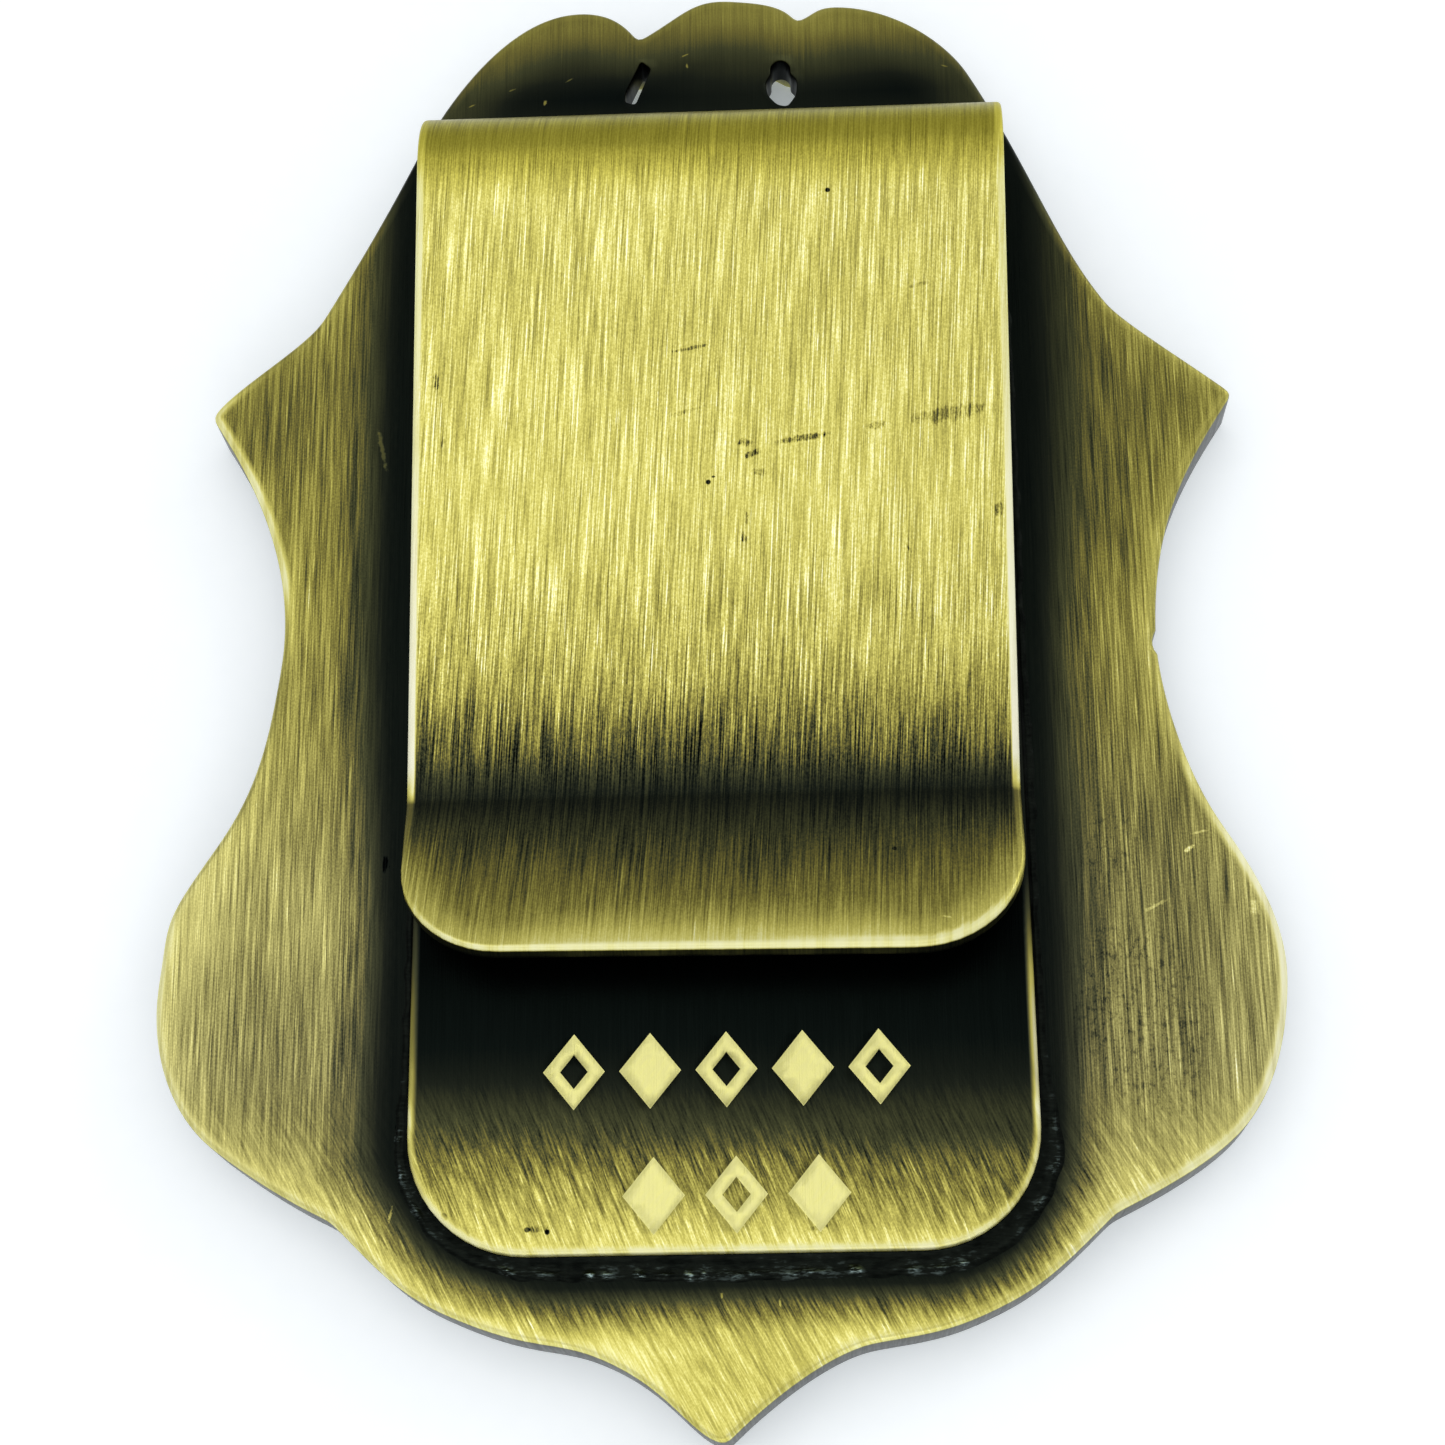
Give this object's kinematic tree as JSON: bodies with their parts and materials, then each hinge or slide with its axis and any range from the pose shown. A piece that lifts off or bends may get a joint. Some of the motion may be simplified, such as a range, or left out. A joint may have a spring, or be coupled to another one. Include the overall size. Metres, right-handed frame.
{
  "type": "badge-backed money clip",
  "caption": "Money clip: a shield-shaped cast badge plate with a folded sheet-metal spring clip soldered to its flat back, whose arm flexes open to grip folded notes.",
  "frame": {"origin": "middle of the overall bounding box, on the plane that the badge's relief face rests on", "axes": "+X to the right seen from the clip side, +Y towards the badge's crested top, +Z out of the flat back, the side the spring clip is on"},
  "size_m": [0.0466, 0.0654, 0.009],
  "materials": {
    "badge": "antique, brushed",
    "strip": "antique, brushed",
    "solder": "dark, glossy"
  },
  "bodies": {
    "badge": {"badge_plate": "badge", "solder_film": "solder", "solder_bead": "solder", "clip_leg": "strip", "clip_fold": "strip"},
    "spring_arm": {"clip_arm": "strip", "clip_bend": "strip", "clip_lip": "strip"}
  },
  "joints": [
    {"name": "clip_flex", "type": "hinge", "parent": "badge", "child": "spring_arm", "pos_m": [0, 0.0214, 0.00605], "axis": [-1, 0, 0], "range_deg": [0, 10], "stiffness_Nm_per_rad": 2, "springref_deg": -1.72, "deforming": ["clip_fold"]}
  ]
}
